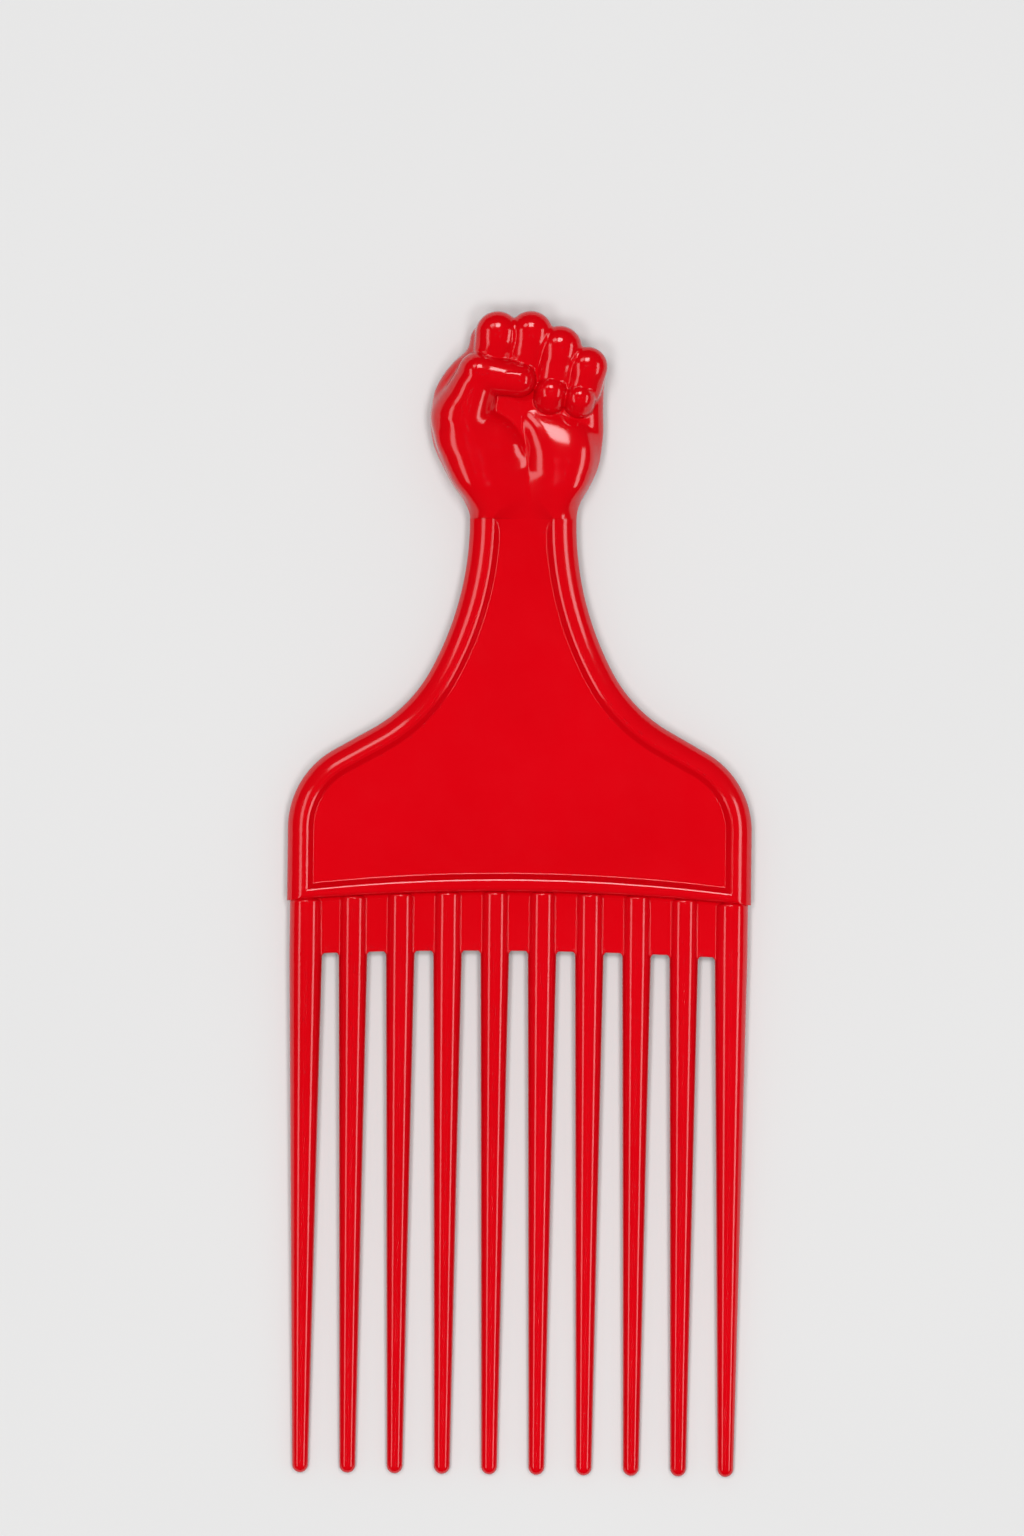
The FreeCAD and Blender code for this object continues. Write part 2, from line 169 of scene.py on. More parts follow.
def mesh_piece(name, points, faces, nodes):
    """Smooth mesh object that stands in for the given nodes and rides on the root body."""
    mesh = bpy.data.meshes.new(name)
    mesh.from_pydata(to_world(points).tolist(), [], [list(map(int, face)) for face in faces])
    mesh.validate()
    mesh.update()
    mesh.polygons.foreach_set("use_smooth", [True] * len(mesh.polygons))
    piece = bpy.data.objects.new(name, mesh)
    bpy.context.scene.collection.objects.link(piece)
    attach(piece, "root")
    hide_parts(*nodes)
    return piece


def slab_faces(rows, columns):
    """Faces of a closed slab: a front grid, a back grid and the walls that join their borders."""
    front = np.arange(rows * columns).reshape(rows, columns)
    back = front + rows * columns
    faces = []

    def sheet(a, b, c, d):
        faces.append(np.stack([a.ravel(), b.ravel(), c.ravel(), d.ravel()], 1))

    sheet(front[:-1, :-1], front[:-1, 1:], front[1:, 1:], front[1:, :-1])
    sheet(back[:-1, :-1], back[1:, :-1], back[1:, 1:], back[:-1, 1:])
    sheet(front[0, :-1], back[0, :-1], back[0, 1:], front[0, 1:])
    sheet(front[-1, :-1], front[-1, 1:], back[-1, 1:], back[-1, :-1])
    sheet(front[:-1, 0], front[1:, 0], back[1:, 0], back[:-1, 0])
    sheet(front[:-1, -1], back[:-1, -1], back[1:, -1], front[1:, -1])
    return np.concatenate(faces)


def slab_piece(name, x, y, z, nodes):
    """Piece whose front is the height field z over x and y and whose back mirrors it."""
    front = np.stack([x, y, z], -1).reshape(-1, 3)
    back = front * np.array((1.0, 1.0, -1.0))
    return mesh_piece(name, np.concatenate([front, back]), slab_faces(*x.shape), nodes)


# Body: panel, rims and lip in one skin


def inner_profile(chamfer):
    """Drop of a bead's inner side from crest to floor: distances, and the share of the drop at each."""
    depth = CREST - PANEL_HALF
    width, slope = chamfer
    low = math.tan(math.radians(slope))
    high = math.tan(math.radians(WALL_SLOPE))
    wall = (depth - low * width - high * FILLET_WIDTH / 2) / high
    places = [0.0, CHAMFER_EASE, width, width + WALL_EASE, width + wall, width + wall + FILLET_WIDTH]
    slopes = [0.0, low, low, high, high, 0.0]
    distance = np.linspace(0.0, places[-1], PROFILE_SAMPLES)
    fall = np.cumsum(np.interp(distance, places, slopes))
    return distance, fall / fall[-1]


def dish_share(x, above_wrist):
    """Share of the recess's depth that is left where it runs out into the hand."""
    middle = 1.0 - np.clip(np.abs(x) / DISH_HALF, 0.0, 1.0) ** 2
    run = DISH_SIDE_RUN + (DISH_MIDDLE_RUN - DISH_SIDE_RUN) * middle
    return smooth_step((DISH_RISE * middle - above_wrist) / run)


ARCH_RADIUS = (HALF_WIDTH ** 2 + LIP_RISE ** 2) / (2 * LIP_RISE)


def lip_edge(x):
    """Height of the lip's lower edge, an arc that ends at the body's corners."""
    return np.sqrt(ARCH_RADIUS ** 2 - np.asarray(x, float) ** 2) + LIP_RISE - ARCH_RADIUS


def slope_unit(degrees):
    """Unit vector that climbs to the left at an angle to the level."""
    return np.array((-math.cos(math.radians(degrees)), math.sin(math.radians(degrees))))


def left_of(way):
    """Unit vector to the left of a direction of travel."""
    return np.array((-way[1], way[0]))


def edge_rows(side_rows):
    """Points of the right edge from the lower corner to the wrist, with the edge's direction at each."""
    points = [np.array((HALF_WIDTH, height)) for height in side_rows]
    ways = [slope_unit(UPRIGHT)] * len(side_rows)

    def bend(radius, first, last, count, is_left):
        start = points[-1]
        sign = 1.0 if is_left else -1.0
        for step in range(1, count + 1):
            way = slope_unit(first + (last - first) * step / count)
            turn = sign * radius * (left_of(slope_unit(first)) - left_of(way))
            points.append(start + turn)
            ways.append(way)

    def straight(length, way, count):
        start = points[-1]
        for step in range(1, count + 1):
            points.append(start + way * length * step / count)
            ways.append(way)

    bend(SHOULDER_RADIUS, UPRIGHT, SHOULDER_SLOPE, SHOULDER_ROWS, True)
    straight(SHOULDER_STRAIGHT, slope_unit(SHOULDER_SLOPE), STRAIGHT_ROWS)
    neck_start_x = NECK_WIDTH / 2 + NECK_RADIUS * (1 - math.sin(math.radians(FLARE_END_SLOPE)))
    spread = math.sin(math.radians(FLARE_END_SLOPE)) - math.sin(math.radians(SHOULDER_SLOPE))
    flare_radius = (points[-1][0] - neck_start_x) / spread
    bend(flare_radius, SHOULDER_SLOPE, FLARE_END_SLOPE, FLARE_ROWS, False)
    bend(NECK_RADIUS, FLARE_END_SLOPE, UPRIGHT, NECK_ROWS, False)
    straight(WRIST_Y - points[-1][1], slope_unit(UPRIGHT), STRAIGHT_ROWS)
    return np.array(points), np.array(ways)


def body_skin():
    """Panel, rims and lip as one slab, its rows along the outline and its columns across."""
    quarter = np.linspace(0.0, math.pi / 2, LIP_ROUND_ROWS)
    rim_run, rim_fall = inner_profile(BEAD_CHAMFER)
    lip_run, lip_fall = inner_profile(LIP_CHAMFER)
    lip_rows = LIP_EDGE_RADIUS * (1.0 - np.cos(quarter))
    slope_end = LIP_BEAD + lip_run[-1] + LIP_MARGIN
    slope_rows = np.linspace(LIP_EDGE_RADIUS, slope_end, LIP_SLOPE_ROWS)[1:]
    upper_rows = np.linspace(slope_rows[-1], SIDE_HEIGHT, SIDE_ROWS)[1:]
    side_rows = np.concatenate([lip_rows, slope_rows, upper_rows])
    points, ways = edge_rows(side_rows)
    rows = len(points)
    inward = np.stack([-ways[:, 1], ways[:, 0]], 1)
    neck_share = smooth_step((points[:, 1] - SIDE_HEIGHT) / (WRIST_Y - SIDE_HEIGHT))
    gain = 1.0 + NECK_BEAD_GAIN * neck_share

    bead = BEAD_WIDTH * (1.0 - np.cos(np.linspace(0.0, math.pi / 2, BEAD_COLUMNS)))
    slope = BEAD_WIDTH + np.linspace(0.0, rim_run[-1] + RIM_MARGIN, RIM_SLOPE_COLUMNS)[1:]
    depth_in = np.concatenate([bead, slope])
    across = np.linspace(1.0, -1.0, PANEL_COLUMNS)[1:-1]

    rim = points[:, None, :] + inward[:, None, :] * (depth_in[None, :, None] * gain[:, None, None])
    foot = rim[:, -1, :]
    panel = np.empty((rows, len(across), 2))
    panel[:, :, 0] = foot[:, None, 0] * across
    panel[:, :, 1] = foot[:, None, 1]
    mirrored = rim[:, ::-1, :] * np.array((-1.0, 1.0))
    grid = np.concatenate([rim, panel, mirrored], 1)
    x = grid[:, :, 0]
    on_side = np.arange(rows) < len(side_rows)
    let_go = smooth_step((points[:, 1] - ARCH_FADE_START) / (SIDE_HEIGHT - ARCH_FADE_START))
    fade = np.where(on_side, 1.0 - let_go, 0.0)
    y = grid[:, :, 1] + lip_edge(x) * fade[:, None]

    far = np.full(len(across), PANEL_INSET)
    inset = np.concatenate([depth_in, far, depth_in[::-1]])[None, :].repeat(rows, 0)
    above_lip = np.maximum(y - lip_edge(x), 0.0)
    reach = np.clip(1.0 - inset / BEAD_WIDTH, 0.0, 1.0)
    rim_top = BEAD_FLANK + (CREST - BEAD_FLANK) * (1.0 - reach ** BEAD_POWER) ** (1.0 / BEAD_POWER)
    lip_reach = np.clip(1.0 - above_lip / LIP_EDGE_RADIUS, 0.0, 1.0)
    lip_top = CREST - LIP_EDGE_RADIUS * (1.0 - np.sqrt(1.0 - lip_reach ** 2))
    outer = np.minimum(rim_top, lip_top)
    from_rim = np.interp(inset - BEAD_WIDTH, rim_run, rim_fall)
    lip_width = LIP_BEAD - LIP_END_DROP * (x / HALF_WIDTH) ** 2
    from_lip = np.interp(above_lip - lip_width, lip_run, lip_fall)
    from_top = dish_share(x, y - WRIST_Y)
    recess = np.minimum(blend_min(from_rim, from_lip, INNER_CORNER_BLEND), from_top)
    z = outer - (CREST - PANEL_HALF) * np.clip(recess, 0.0, 1.0)
    piece = slab_piece("body_skin", x, y, z, ["panel", "left_rim", "right_rim", "lip"])
    sharp_wrist(piece)
    return piece


# Teeth: round, with a softly rounded crown under the lip and a ball tip


def tooth_skin(node):
    """One tooth as rings from its crown down to its tip, closed at both ends."""
    low, high = box_mm(node)
    centre_x = (low.x + high.x) / 2
    root = (high.x - low.x) / 2
    tip_y = low.y - EDGE_Y
    crown_y = float(lip_edge(centre_x))
    web_y = web_edge(centre_x)
    ball_y = tip_y + TOOTH_TIP_RADIUS
    rows = [(crown_y + CROWN_OVERLAP, root - TOOTH_CROWN_RADIUS)]
    for turn in np.linspace(0.0, math.pi / 2, CROWN_ROWS):
        rise = TOOTH_CROWN_RADIUS * (1.0 - math.sin(turn))
        rows.append((crown_y - TOOTH_CROWN_RADIUS * (1.0 - math.cos(turn)), root - rise))
    for height in np.linspace(rows[-1][0], web_y, ROOT_ROWS)[1:]:
        rows.append((height, root))
    for share in np.linspace(0.0, 1.0, TAPER_ROWS)[1:]:
        rows.append((web_y + (ball_y - web_y) * share, root + (TOOTH_TIP_RADIUS - root) * share))
    for turn in np.linspace(0.0, math.pi / 2, TIP_ROWS)[1:-1]:
        rows.append((ball_y - TOOTH_TIP_RADIUS * math.sin(turn), TOOTH_TIP_RADIUS * math.cos(turn)))
    sides = TOOTH_SIDES
    angle = np.arange(sides) * 2.0 * math.pi / sides
    points = [(centre_x, rows[0][0], 0.0)]
    for height, radius in rows:
        ring_x = centre_x + radius * np.sin(angle)
        ring_z = radius * np.cos(angle)
        ring = np.stack([ring_x, np.full(sides, height), ring_z], 1)
        points.extend(ring.tolist())
    points.append((centre_x, tip_y, 0.0))
    faces = []
    for side in range(sides):
        after = (side + 1) % sides
        faces.append((0, 1 + side, 1 + after))
        for row in range(len(rows) - 1):
            first = 1 + row * sides
            faces.append((first + side, first + sides + side, first + sides + after, first + after))
        last = 1 + (len(rows) - 1) * sides
        faces.append((len(points) - 1, last + after, last + side))
    return mesh_piece(f"{node}_skin", points, faces, [node])


def web_edge(x):
    """Height of the web's lower edge, which arches up to the middle."""
    return -WEB_DEPTH + WEB_RISE * (1 - (x / HALF_WIDTH) ** 2)


def web_skin():
    """The thin strips between the tooth roots, filleted to the teeth and rounded at the slot."""
    places = []
    for node in TEETH:
        low, high = box_mm(node)
        places.append(((low.x + high.x) / 2, (high.x - low.x) / 2))
    points = []
    faces = []
    for (left_x, left_radius), (right_x, right_radius) in zip(places, places[1:]):
        x, z, side = web_columns(left_x, left_radius, right_x, right_radius)
        corner = np.clip(1.0 - side / SLOT_CORNER, 0.0, 1.0)
        end = web_edge(x) - SLOT_CORNER * (1.0 - np.sqrt(1.0 - corner ** 2))
        edge = WEB_EDGE_RADIUS * (1.0 - np.cos(np.linspace(0.0, math.pi / 2, WEB_EDGE_ROWS)))
        share = np.linspace(0.0, 1.0, WEB_ROWS)[1:]
        top = lip_edge(x) + WEB_OVERLAP
        start = end + WEB_EDGE_RADIUS
        climb = start[None, :] + (top - start)[None, :] * share[:, None]
        y = np.concatenate([end[None, :] + edge[:, None], climb])
        inset = np.concatenate([edge, np.full(len(share), WEB_EDGE_RADIUS)])
        drop = WEB_EDGE_RADIUS * (1.0 - np.sqrt(1.0 - (1.0 - inset / WEB_EDGE_RADIUS) ** 2))
        height = z[None, :] - drop[:, None]
        grid_x = x[None, :].repeat(len(y), 0)
        front = np.stack([grid_x, y, height], -1).reshape(-1, 3)
        strip = slab_faces(*y.shape) + len(points)
        points.extend(front.tolist())
        points.extend((front * np.array((1.0, 1.0, -1.0))).tolist())
        faces.extend(strip.tolist())
    return mesh_piece("root_web_skin", points, faces, ["root_web"])


def web_columns(left_x, left_radius, right_x, right_radius):
    """Columns across one gap, right to left: x, height of the face and distance to the nearer tooth."""
    columns = []
    for centre, radius, sign in ((right_x, right_radius, -1.0), (left_x, left_radius, 1.0)):
        reach = math.sqrt((radius + WEB_FILLET) ** 2 - (WEB_HALF + WEB_FILLET) ** 2)
        start = math.atan2(WEB_HALF + WEB_FILLET, reach)
        first_x = centre + sign * radius * WEB_ROOT_SHARE
        half = [(first_x, WEB_HALF + WEB_FILLET * (1.0 - math.sin(start)), 0.0)]
        for turn in np.linspace(start, math.pi / 2, FILLET_COLUMNS):
            x = centre + sign * (reach - WEB_FILLET * math.cos(turn))
            z = WEB_HALF + WEB_FILLET * (1.0 - math.sin(turn))
            half.append((x, z, max(0.0, reach - WEB_FILLET * math.cos(turn) - radius)))
        for inset in WEB_INSETS:
            half.append((centre + sign * (reach + inset), WEB_HALF, max(0.0, reach + inset - radius)))
        columns.append(half)
    right, left = columns
    run = np.array(right + left[::-1])
    return run[:, 0], run[:, 1], run[:, 2]


# Fist: rounded forms that run into each other, skinned from their distance field
# Points are x, height above the wrist and depth

# Hand: height, left edge, right edge, front, back, left corner radius, right corner radius
HAND_ROWS = np.array((
    (0.0, -8.55, 8.55, 2.70, 2.70, 3.48, 3.48),
    (2.7, -9.50, 9.15, 2.80, 2.95, 3.80, 3.80),
    (5.0, -11.00, 10.45, 2.90, 3.40, 4.60, 4.80),
    (8.3, -12.98, 11.90, 2.80, 3.90, 5.40, 5.30),
    (11.7, -14.50, 12.50, 2.65, 4.20, 5.60, 5.40),
    (14.0, -14.92, 12.70, 2.55, 4.35, 5.60, 5.20),
    (17.2, -14.82, 12.65, 2.45, 4.40, 5.20, 4.60),
    (20.7, -14.28, 12.70, 2.40, 4.40, 4.40, 3.60),
    (22.9, -13.10, 12.85, 2.60, 4.30, 3.80, 3.50),
    (25.1, -11.35, 12.60, 3.10, 4.20, 3.50, 3.40),
    (26.9, -9.45, 10.40, 3.00, 4.10, 3.30, 3.30),
    (29.6, -8.70, 6.30, 2.60, 3.60, 2.90, 2.90),
))
HAND_TOP = 30.8
# Height by which the wrist's section turns from the bead's into a round one, the round one's power, and
# the blend at the hand's top
WRIST_RUN = 6.0
ROUND_POWER = 2.0
HAND_TOP_BLEND = 2.0
# Depths over which the forms of the front and the recess fade out towards the mid-plane
FRONT_FADE = 3.6
DISH_FADE = 1.2
# Each finger: the middle of its knuckle's ball, the lower end of the part that folds over the palm,
# radius, and the radius at which its front bows down towards the palm
FINGERS = {
    "index": ((-4.40, 29.50), (-5.30, 22.5), 3.40, 7.0),
    "middle": ((0.90, 29.62), (-0.30, 22.0), 3.38, 10.0),
    "ring": ((5.55, 27.30), (4.60, 22.0), 3.38, 24.0),
    "little": ((9.95, 24.30), (9.20, 20.9), 3.10, 20.0),
}
# Where the bow starts below the middle of the knuckle's ball, and how far it goes on
FINGER_BOW = (0.8, 5.0)
FINGER_DEPTH = 2.35
FINGER_LOW_DEPTH = 1.75
# A finger's rounding is wider than its plan by this much, so its sides are cut off as walls, and how far
# outside its plan these stand
FINGER_SWELL = 0.45
FINGER_WALL = 0.17
# A finger is slimmer at its lower end, and at its knuckle, which also lies a little lower than the bend
LOW_SLIM = 0.2
KNUCKLE_SLIM = 0.15
KNUCKLE_DROP = 0.3
KNUCKLE_DEPTH = -1.45
# Each bare fingertip: x and height of its upper and its lower end, and radius
FINGERTIPS = (((4.20, 20.2), (4.05, 19.3), 2.68), ((8.80, 19.3), (8.70, 18.6), 2.48))
FINGERTIP_DEPTHS = (3.3, 2.7)
# Thumb, from the palm to the tip: x, height, depth and radius
THUMB_JOINTS = (
    (-7.2, 8.0, 0.2, 4.40),
    (-9.8, 16.4, 0.9, 4.90),
    (-7.3, 23.1, 3.5, 3.35),
    (-0.9, 22.1, 4.0, 2.75),
)
# Thumbnail: left edge, right end, lower end and upper edge, how soft each is, and how far it stands up
NAIL_SPAN = (-3.1, 0.3, 21.2, 23.2)
NAIL_SOFT = (0.4, 1.8, 1.4, 0.35)
NAIL_HEIGHT = 0.10
# Blends where the forms meet
FINGER_BEND_BLEND = 0.6
FINGER_WALL_BLEND = 0.5
FINGERS_BLEND = 0.5
FINGERTIP_BLEND = 0.2
THUMB_ROOT_BLEND = 1.2
THUMB_BASE_BLEND = 0.6
PALM_BLEND = 0.4
THUMB_BLEND = 0.4
# Each mound of the palm: x and height of its crest, half width to the left and right, half length down
# and up, the powers of its fall across and up, rise, how much it steepens across further up, and lean
THUMB_MOUND = (-7.0, 8.6, 12.0, 8.0, 8.2, 9.2, 2.0, 5.0, 2.25, 1.0, 0.05)
HEEL_MOUND = (6.0, 9.2, 5.8, 8.3, 7.6, 8.3, 2.2, 2.0, 2.1, 0.1, 0.06)
# Heights between which the crease of the palm sharpens
CREASE_SPAN = (4.5, 9.5)
# A mound steepens from this far below the top of that span, over this height
STEEPEN_START = 0.5
STEEPEN_RUN = 3.0
# Rounding of a mound's crest, blend at its foot, what the foot gains below the crease, and blend of the
# two mounds
MOUND_ROUNDING = 0.04
MOUND_FOOT = 0.08
MOUND_LOW_FOOT = 1.2
MOUNDS_BLEND = 0.08
# Net of the skin: its step, the room it is given in x, depth and height, and how its points are drawn in
NET_STEP = 0.19
NET_LEFT = -15.6
NET_RIGHT = 14.2
NET_BACK = -5.6
NET_FRONT = 7.8
NET_ROWS_BELOW = 2
NET_BELOW = 0.05
NET_ABOVE = 0.6
NET_ROUNDS = 3
NET_NUDGE = 0.02
NET_LEAST_SLOPE = 0.25
NET_MOVE_SHARE = 0.5
NET_LEAST_MOVE = 1e-9
# An edge this close to the wrist counts as on it
WRIST_TOLERANCE = 0.001


def curve_through(at, knots, values):
    """Smooth curve through a table of values, level at its first one."""
    slopes = np.gradient(values, knots)
    slopes[0] = 0.0
    index = np.clip(np.searchsorted(knots, at) - 1, 0, len(knots) - 2)
    width = knots[index + 1] - knots[index]
    t = np.clip((at - knots[index]) / width, 0.0, 1.0)
    keep = (1.0 + 2.0 * t) * (1.0 - t) ** 2
    pull = t * (1.0 - t) ** 2 * width * slopes[index]
    push = t * t * (t - 1.0) * width * slopes[index + 1]
    return values[index] * keep + values[index + 1] * (1.0 - keep) + pull + push


def limb(x, y, z, first, first_radius, last, last_radius):
    """Distance to a straight limb between two balls."""
    ax = np.asarray(first, float)
    run = np.asarray(last, float) - ax
    along = ((x - ax[0]) * run[0] + (y - ax[1]) * run[1] + (z - ax[2]) * run[2]) / run.dot(run)
    along = np.clip(along, 0.0, 1.0)
    gap = np.sqrt(
        (x - ax[0] - along * run[0]) ** 2
        + (y - ax[1] - along * run[1]) ** 2
        + (z - ax[2] - along * run[2]) ** 2)
    return gap - (first_radius + (last_radius - first_radius) * along)


def mound(x, y, crest_x, crest_y, left, right, down, up, power_x, power_y, rise, steepen, lean):
    """Height of a soft mound over the palm."""
    offset = x - crest_x + lean * np.maximum(y - crest_y, 0.0) ** 2
    u = offset / np.where(offset < 0.0, left, right)
    v = (y - crest_y) / np.where(y < crest_y, down, up)
    low, high = CREASE_SPAN
    power = power_x / 2 * (1.0 + steepen * smooth_step((y - high + STEEPEN_START) / STEEPEN_RUN))
    across = (u * u + MOUND_ROUNDING) ** power - MOUND_ROUNDING ** power
    along = np.where(v < 0.0, v * v, np.abs(v) ** power_y)
    fall = 1.0 - across - along
    foot = MOUND_FOOT + MOUND_LOW_FOOT * smooth_step((high - y) / (high - low))
    return -rise * blend_min(-fall, np.zeros_like(fall), foot)


def hand_block(x, y, z):
    """Distance, near enough, to the hand without fingers, with its mounds and the end of the recess."""
    mounds = -blend_min(-mound(x, y, *THUMB_MOUND), -mound(x, y, *HEEL_MOUND), MOUNDS_BLEND)
    dish = (CREST - PANEL_HALF) * dish_share(x, y)
    z = z - mounds * smooth_step(z / FRONT_FADE) + np.sign(z) * dish * smooth_step(np.abs(z) / DISH_FADE)
    knots = HAND_ROWS[:, 0]
    table = [curve_through(y, knots, HAND_ROWS[:, i]) for i in range(1, 7)]
    left, right, front, back, left_corner, right_corner = table
    middle_x = (left + right) / 2
    middle_z = (front - back) / 2
    half_z = (front + back) / 2
    corner = np.where(x < middle_x, left_corner, right_corner)
    corner_z = np.minimum(corner, half_z - BEAD_FLANK)
    power = BEAD_POWER + (ROUND_POWER - BEAD_POWER) * smooth_step(y / WRIST_RUN)
    over_x = np.abs(x - middle_x) - (right - left) / 2 + corner
    over_z = (np.abs(z - middle_z) - half_z + corner_z) * corner / corner_z
    outside = (np.maximum(over_x, 0.0) ** power + np.maximum(over_z, 0.0) ** power) ** (1.0 / power)
    section = (outside + np.minimum(np.maximum(over_x, over_z), 0.0) - corner) * corner_z / corner
    return -blend_min(-section, -(y - HAND_TOP), HAND_TOP_BLEND)


def fist_field(x, y, z):
    """Signed distance to the fist, negative inside."""
    palm_joint, base_joint, bend_joint, tip = THUMB_JOINTS
    root = limb(x, y, z, palm_joint[:3], palm_joint[3], base_joint[:3], base_joint[3])
    palm = blend_min(hand_block(x, y, z), root, THUMB_ROOT_BLEND)

    folded = None
    for top, low, radius, bow_radius in FINGERS.values():
        knuckle = (top[0], top[1] - KNUCKLE_DROP, KNUCKLE_DEPTH)
        bend = (top[0], top[1], FINGER_DEPTH)
        low_end = (low[0], low[1], FINGER_LOW_DEPTH)
        swollen = radius + FINGER_SWELL
        below = np.clip(top[1] - FINGER_BOW[0] - y, 0.0, FINGER_BOW[1])
        bowed = z + below ** 2 / (2.0 * bow_radius) * smooth_step(z / FRONT_FADE)
        over = limb(x, y, z, knuckle, swollen - KNUCKLE_SLIM, bend, swollen)
        down = limb(x, y, bowed, bend, swollen, low_end, swollen - LOW_SLIM)
        walls = limb(x, y, np.zeros(1), top + (0.0,), radius, low + (0.0,), radius - LOW_SLIM)
        finger = blend_min(over, down, FINGER_BEND_BLEND)
        finger = -blend_min(-finger, FINGER_WALL - walls, FINGER_WALL_BLEND)
        folded = finger if folded is None else blend_min(folded, finger, FINGERS_BLEND)
    for high, low, radius in FINGERTIPS:
        first = (high[0], high[1], FINGERTIP_DEPTHS[0])
        last = (low[0], low[1], FINGERTIP_DEPTHS[1])
        folded = blend_min(folded, limb(x, y, z, first, radius, last, radius), FINGERTIP_BLEND)

    lower = limb(x, y, z, base_joint[:3], base_joint[3], bend_joint[:3], bend_joint[3])
    upper = limb(x, y, z, bend_joint[:3], bend_joint[3], tip[:3], tip[3])
    left, right, low, high = NAIL_SPAN
    left_soft, right_soft, low_soft, high_soft = NAIL_SOFT
    nail = smooth_step((x - left) / left_soft + 0.5) * smooth_step((high - y) / high_soft + 0.5)
    nail = nail * smooth_step((right - x) / right_soft + 0.5) * smooth_step((y - low) / low_soft + 0.5)
    upper = upper - NAIL_HEIGHT * nail * (z > tip[2])

    palm = blend_min(palm, lower, THUMB_BASE_BLEND)
    hand = blend_min(palm, folded, PALM_BLEND)
    return blend_min(hand, upper, THUMB_BLEND)


def surface_net(field, origin, step):
    """Quads of the zero surface of a field sampled on a grid, one point per crossed cell."""
    inside = field < 0.0
    cells = tuple(n - 1 for n in field.shape)
    total = np.zeros(cells + (3,))
    count = np.zeros(cells)

    def corner(values, offset):
        return values[tuple(slice(o, o + n) for o, n in zip(offset, cells))]

    for axis in range(3):
        others = [a for a in range(3) if a != axis]
        for first in (0, 1):
            for second in (0, 1):
                offset = [0, 0, 0]
                offset[others[0]] = first
                offset[others[1]] = second
                far = list(offset)
                far[axis] = 1
                near_value = corner(field, offset)
                far_value = corner(field, far)
                crossed = corner(inside, offset) != corner(inside, far)
                gap = np.where(crossed, near_value - far_value, 1.0)
                place = np.where(crossed, near_value / gap, 0.0)
                total[..., axis] += place
                total[..., others[0]] += first * crossed
                total[..., others[1]] += second * crossed
                count += crossed
    used = count > 0
    number = np.full(cells, -1)
    number[used] = np.arange(used.sum())
    at = np.stack(np.nonzero(used), 1) + total[used] / count[used][:, None]
    points = np.asarray(origin) + at * step

    faces = []
    for axis in range(3):
        one = (axis + 1) % 3
        two = (axis + 2) % 3
        near = [slice(1, -1)] * 3
        far = [slice(1, -1)] * 3
        near[axis] = slice(0, -1)
        far[axis] = slice(1, None)
        starts = inside[tuple(near)]
        crossed = starts != inside[tuple(far)]
        index = np.stack(np.nonzero(crossed), 1)
        index[:, one] += 1
        index[:, two] += 1
        ring = []
        for back_one, back_two in ((1, 1), (0, 1), (0, 0), (1, 0)):
            cell = index.copy()
            cell[:, one] -= back_one
            cell[:, two] -= back_two
            ring.append(number[cell[:, 0], cell[:, 1], cell[:, 2]])
        quads = np.stack(ring, 1)
        is_out = starts[crossed]
        quads[~is_out] = quads[~is_out][:, ::-1]
        faces.append(quads)
    return points, np.concatenate(faces)


def fist_skin():
    """Skin of the fist: a net over its field, drawn in to the zero surface and cut off at the wrist."""
    step = NET_STEP
    low = (NET_LEFT, -NET_ROWS_BELOW * step - NET_BELOW, NET_BACK)
    high = (NET_RIGHT, FIST_TOP_Y - WRIST_Y + NET_ABOVE, NET_FRONT)
    axes = [np.arange(a, b + step, step) for a, b in zip(low, high)]
    x, y, z = np.meshgrid(*axes, indexing="ij", sparse=True)
    points, faces = surface_net(fist_field(x, y, z), low, step)
    for _ in range(NET_ROUNDS):
        value = fist_field(*points.T)
        slope = np.empty_like(points)
        for axis in range(3):
            shift = np.zeros(3)
            shift[axis] = NET_NUDGE
            rise = fist_field(*(points + shift).T) - fist_field(*(points - shift).T)
            slope[:, axis] = rise / (2 * NET_NUDGE)
        steep = np.maximum((slope ** 2).sum(1), NET_LEAST_SLOPE)
        move = slope * (value / steep)[:, None]
        size = np.sqrt((move ** 2).sum(1))
        move *= np.minimum(1.0, NET_MOVE_SHARE * step / np.maximum(size, NET_LEAST_MOVE))[:, None]
        points = points - move
    return cut_at_wrist(points, faces)


def cut_at_wrist(points, faces):
    """Fist skin with the part below the wrist cut off square."""
    raised = points + np.array((0.0, WRIST_Y, 0.0))
    piece = mesh_piece("fist_skin", raised, faces, ["fist"])
    work = bmesh.new()
    work.from_mesh(piece.data)
    wrist = Vector((0.0, (WRIST_Y + EDGE_Y) * MM, 0.0))
    everything = work.verts[:] + work.edges[:] + work.faces[:]
    bmesh.ops.bisect_plane(work, geom=everything, plane_co=wrist, plane_no=(0, -1, 0), clear_outer=True)
    rim = [edge for edge in work.edges if edge.is_boundary]
    bmesh.ops.holes_fill(work, edges=rim, sides=0)
    work.to_mesh(piece.data)
    work.free()
    sharp_wrist(piece)
    return piece


def sharp_wrist(piece):
    """Keeps the shading of the end face at the wrist apart from that of the skin."""
    limit = (WRIST_Y + EDGE_Y) * MM
    for edge in piece.data.edges:
        ends = [piece.data.vertices[i].co.y for i in edge.vertices]
        edge.use_edge_sharp = max(abs(end - limit) for end in ends) < WRIST_TOLERANCE * MM


# Materials


def node_tree(name):
    """New material, with its nodes and links."""
    material = bpy.data.materials.new(name)
    material.use_nodes = True
    return material, material.node_tree.nodes, material.node_tree.links


